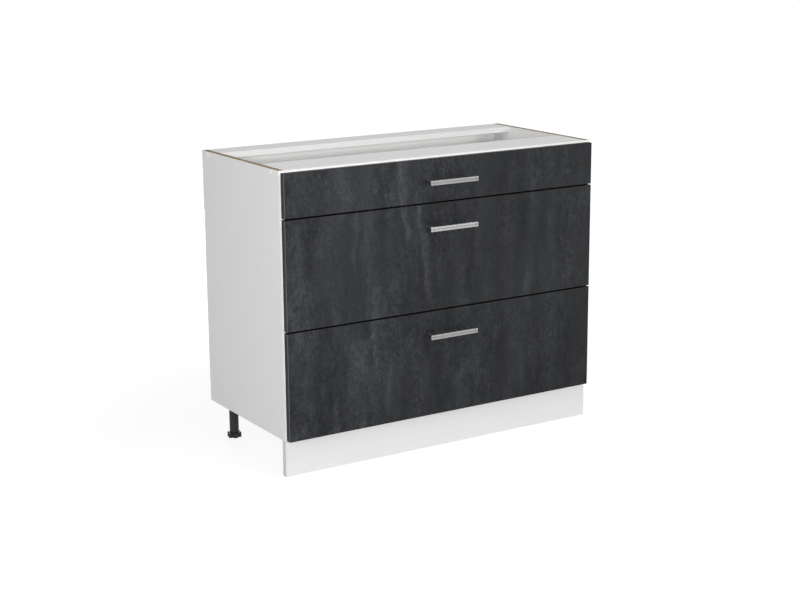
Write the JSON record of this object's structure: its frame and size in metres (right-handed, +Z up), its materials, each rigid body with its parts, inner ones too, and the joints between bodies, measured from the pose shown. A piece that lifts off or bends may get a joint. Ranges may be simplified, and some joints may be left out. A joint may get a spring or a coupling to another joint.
{
  "type": "base cabinet with drawers",
  "caption": "Kitchen base cabinet with dark drawer fronts, bar handles and a white carcass on levelling feet behind a plinth.",
  "frame": {"origin": "on the floor, under the middle of the whole cabinet with its handles", "axes": "+X to the right of someone facing the fronts, +Y to the back, +Z up"},
  "size_m": [1.0016, 0.5096, 0.82],
  "materials": {
    "white_board": "white melamine-faced chipboard with white edging",
    "back_board": "thin fibreboard, white lacquered on one face",
    "drawer_board": "white melamine-faced chipboard",
    "dark_front": "satin laminate with a dark concrete look",
    "handle_metal": "satin brushed metal",
    "drawer_steel": "light grey baked enamel on folded steel",
    "runner_steel": "white baked enamel on folded steel",
    "bracket_steel": "bright zinc on pressed steel",
    "roller_nylon": "white nylon",
    "zinc_screws": "bright zinc plating",
    "beech_dowels": "plain beech",
    "cap_plastic": "white plastic",
    "black_plastic": "black moulded plastic",
    "buffer_rubber": "soft clear buffers"
  },
  "bodies": {
    "carcass": {"side_left": "white_board", "side_right": "white_board", "bottom_panel": "white_board", "back_panel": "back_board", "traverse_front": "white_board", "traverse_rear": "white_board", "plinth": "white_board", "plinth_clips": "black_plastic", "leg_tubes": "black_plastic", "connector_screws": "zinc_screws", "screw_caps": "cap_plastic", "dowels": "beech_dowels", "cam_fittings": "zinc_screws", "back_nails": "zinc_screws", "chipboard_screws": "zinc_screws", "buffers": "buffer_rubber", "runner_left_bottom": "runner_steel", "runner_right_bottom": "runner_steel", "runner_left_middle": "runner_steel", "runner_right_middle": "runner_steel", "runner_left_top": "runner_steel", "runner_right_top": "runner_steel"},
    "drawer_bottom": {"front_bottom": "dark_front", "drawer_wall_left_bottom": "drawer_steel", "drawer_wall_right_bottom": "drawer_steel", "drawer_back_bottom": "drawer_board", "drawer_bottom_bottom": "drawer_board", "front_brackets_bottom": "bracket_steel", "drawer_screws_bottom": "zinc_screws", "handle_bottom": "handle_metal", "handle_screws_bottom": "zinc_screws"},
    "front_rollers_bottom": {"front_rollers_bottom": "roller_nylon"},
    "rear_rollers_bottom": {"rear_rollers_bottom": "roller_nylon"},
    "drawer_middle": {"front_middle": "dark_front", "drawer_wall_left_middle": "drawer_steel", "drawer_wall_right_middle": "drawer_steel", "drawer_back_middle": "drawer_board", "drawer_bottom_middle": "drawer_board", "front_brackets_middle": "bracket_steel", "drawer_screws_middle": "zinc_screws", "handle_middle": "handle_metal", "handle_screws_middle": "zinc_screws"},
    "front_rollers_middle": {"front_rollers_middle": "roller_nylon"},
    "rear_rollers_middle": {"rear_rollers_middle": "roller_nylon"},
    "drawer_top": {"front_top": "dark_front", "drawer_wall_left_top": "drawer_steel", "drawer_wall_right_top": "drawer_steel", "drawer_back_top": "drawer_board", "drawer_bottom_top": "drawer_board", "front_brackets_top": "bracket_steel", "drawer_screws_top": "zinc_screws", "handle_top": "handle_metal", "handle_screws_top": "zinc_screws"},
    "front_rollers_top": {"front_rollers_top": "roller_nylon"},
    "rear_rollers_top": {"rear_rollers_top": "roller_nylon"},
    "foot_front_left": {"foot_front_left": "black_plastic"},
    "foot_front_right": {"foot_front_right": "black_plastic"},
    "foot_rear_left": {"foot_rear_left": "black_plastic"},
    "foot_rear_right": {"foot_rear_right": "black_plastic"}
  },
  "joints": [
    {"name": "drawer_bottom_slide", "type": "slide", "parent": "carcass", "child": "drawer_bottom", "axis": [0, -1, 0], "range_m": [0, 0.3]},
    {"name": "front_rollers_bottom_turn", "type": "hinge", "parent": "carcass", "child": "front_rollers_bottom", "pos_m": [0, -0.17325, 0.142], "axis": [1, 0, 0], "continuous": true},
    {"name": "rear_rollers_bottom_turn", "type": "hinge", "parent": "drawer_bottom", "child": "rear_rollers_bottom", "pos_m": [0, 0.18925, 0.14], "axis": [1, 0, 0], "continuous": true},
    {"name": "drawer_middle_slide", "type": "slide", "parent": "carcass", "child": "drawer_middle", "axis": [0, -1, 0], "range_m": [0, 0.3]},
    {"name": "front_rollers_middle_turn", "type": "hinge", "parent": "carcass", "child": "front_rollers_middle", "pos_m": [0, -0.17325, 0.4285], "axis": [1, 0, 0], "continuous": true},
    {"name": "rear_rollers_middle_turn", "type": "hinge", "parent": "drawer_middle", "child": "rear_rollers_middle", "pos_m": [0, 0.18925, 0.4265], "axis": [1, 0, 0], "continuous": true},
    {"name": "drawer_top_slide", "type": "slide", "parent": "carcass", "child": "drawer_top", "axis": [0, -1, 0], "range_m": [0, 0.3]},
    {"name": "front_rollers_top_turn", "type": "hinge", "parent": "carcass", "child": "front_rollers_top", "pos_m": [0, -0.17325, 0.7225], "axis": [1, 0, 0], "continuous": true},
    {"name": "rear_rollers_top_turn", "type": "hinge", "parent": "drawer_top", "child": "rear_rollers_top", "pos_m": [0, 0.18925, 0.7205], "axis": [1, 0, 0], "continuous": true},
    {"name": "foot_front_left_level", "type": "slide", "parent": "carcass", "child": "foot_front_left", "axis": [0, 0, -1], "range_m": [0, 0.02]},
    {"name": "foot_front_right_level", "type": "slide", "parent": "carcass", "child": "foot_front_right", "axis": [0, 0, -1], "range_m": [0, 0.02]},
    {"name": "foot_rear_left_level", "type": "slide", "parent": "carcass", "child": "foot_rear_left", "axis": [0, 0, -1], "range_m": [0, 0.02]},
    {"name": "foot_rear_right_level", "type": "slide", "parent": "carcass", "child": "foot_rear_right", "axis": [0, 0, -1], "range_m": [0, 0.02]}
  ],
  "couplings": [
    {"joint": "front_rollers_bottom_turn", "follows": "drawer_bottom_slide", "rad_per_m": 117.65},
    {"joint": "rear_rollers_bottom_turn", "follows": "drawer_bottom_slide", "rad_per_m": 117.65},
    {"joint": "front_rollers_middle_turn", "follows": "drawer_middle_slide", "rad_per_m": 117.65},
    {"joint": "rear_rollers_middle_turn", "follows": "drawer_middle_slide", "rad_per_m": 117.65},
    {"joint": "front_rollers_top_turn", "follows": "drawer_top_slide", "rad_per_m": 117.65},
    {"joint": "rear_rollers_top_turn", "follows": "drawer_top_slide", "rad_per_m": 117.65}
  ]
}
